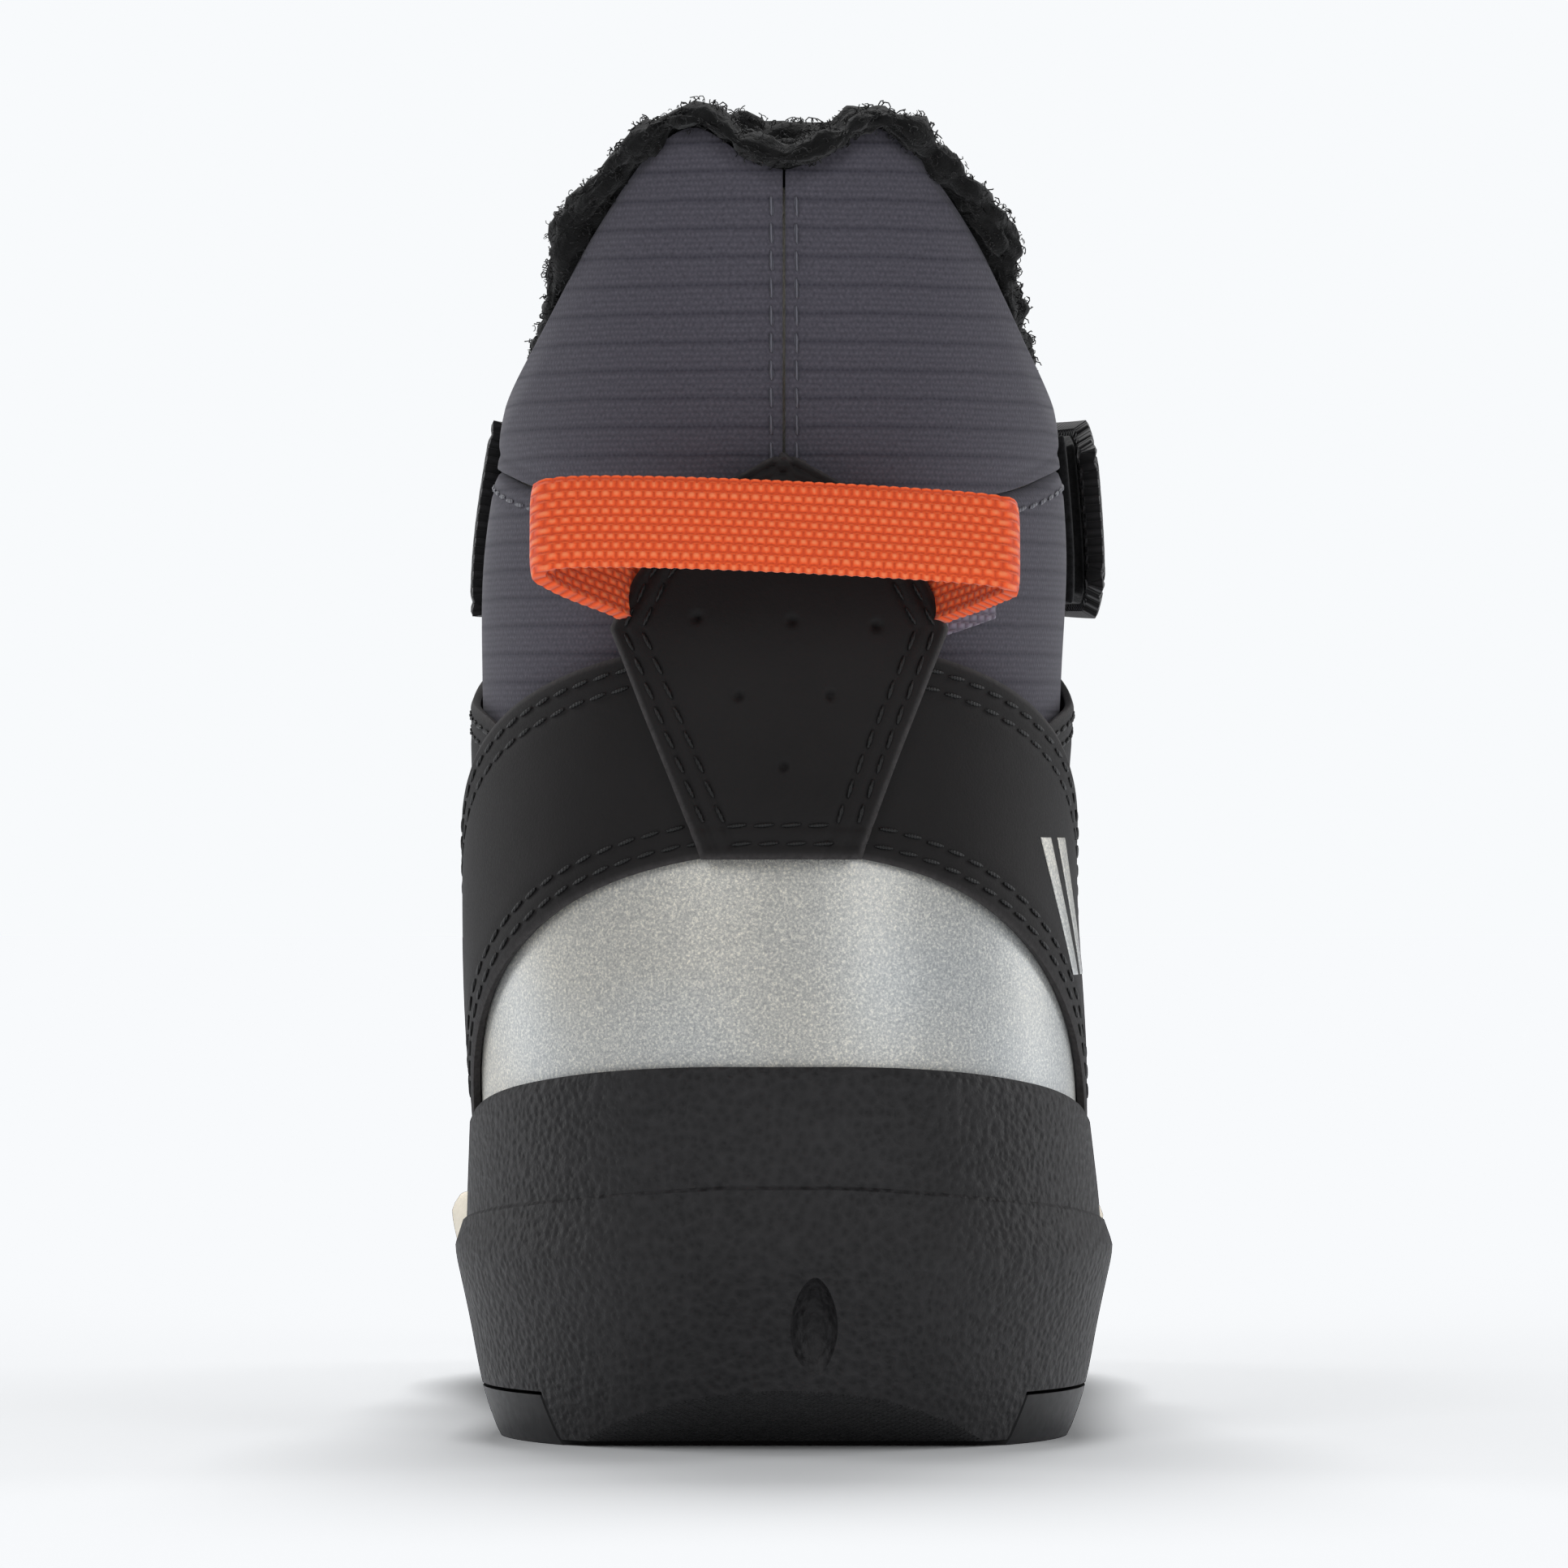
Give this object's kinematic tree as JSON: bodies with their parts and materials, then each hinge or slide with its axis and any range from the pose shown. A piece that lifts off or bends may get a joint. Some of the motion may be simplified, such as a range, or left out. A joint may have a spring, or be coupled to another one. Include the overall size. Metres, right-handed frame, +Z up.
{
  "type": "winter boot",
  "caption": "Child's ankle-high winter boot for the right foot, with a fleece-lined shaft, a heel pull loop and two hook-and-loop straps.",
  "frame": {"origin": "on the ground under the middle of the heel, on the underside of the tread", "axes": "+Z up, +Y towards the toe, +X towards the outer side of the foot"},
  "size_m": [0.0781, 0.2154, 0.1506],
  "materials": {
    "black_rubber": "moulded, fine stipple",
    "tread_rubber": "smooth moulded",
    "cream_foam": "moulded foam rubber, matt",
    "board": "fibre board",
    "spring_steel": "plain",
    "felt": "needle felt",
    "stiffener": "thermoplastic sheet",
    "fleece": "curly pile",
    "foam": "open-cell foam",
    "grey_textile": "ribbed weave",
    "black_synthetic": "coated, matt",
    "silver_reflector": "fine glass-bead sheen",
    "orange_webbing": "woven tape",
    "black_strap": "faced strap",
    "hook_tape": "hook-and-loop"
  },
  "bodies": {
    "boot": {"heel_cup": "black_rubber", "forefoot_midsole": "cream_foam", "outsole_tread": "tread_rubber", "steel_shank": "spring_steel", "insole_board": "board", "felt_footbed": "felt", "fleece_lining": "fleece", "collar_foam": "foam", "heel_counter": "stiffener", "toe_puff": "stiffener", "shaft_fabric_medial": "grey_textile", "shaft_fabric_lateral": "grey_textile", "collar_fabric_medial": "grey_textile", "collar_fabric_lateral": "grey_textile", "vamp": "black_synthetic", "toe_cap": "black_rubber", "quarter_medial": "black_synthetic", "quarter_lateral": "black_synthetic", "heel_reflector": "silver_reflector", "heel_band": "black_synthetic", "heel_patch": "black_synthetic", "tongue": "grey_textile", "upper_strap_root": "black_strap", "upper_strap_landing": "hook_tape", "lower_strap_root": "black_strap", "lower_strap_landing": "hook_tape", "pull_loop_end_medial": "orange_webbing", "pull_loop_end_lateral": "orange_webbing"},
    "upper_strap": {"upper_strap": "black_strap", "upper_strap_hook_tape": "hook_tape"},
    "lower_strap": {"lower_strap": "black_strap", "lower_strap_hook_tape": "hook_tape"},
    "pull_loop": {"pull_loop": "orange_webbing"}
  },
  "joints": [
    {"name": "upper_strap_peel", "type": "hinge", "parent": "boot", "child": "upper_strap", "pos_m": [-0.03115, 0.02932, 0.10326], "axis": [0.1611, 0.0126, 0.9869], "range_deg": [0, 120]},
    {"name": "lower_strap_peel", "type": "hinge", "parent": "boot", "child": "lower_strap", "pos_m": [-0.03367, 0.07438, 0.05859], "axis": [0.0801, -0.9096, 0.4076], "range_deg": [0, 150]},
    {"name": "pull_loop_swing", "type": "hinge", "parent": "boot", "child": "pull_loop", "pos_m": [0, -0.029, 0.0955], "axis": [1, 0, 0], "range_deg": [-30, 25], "stiffness_Nm_per_rad": 0.02}
  ]
}
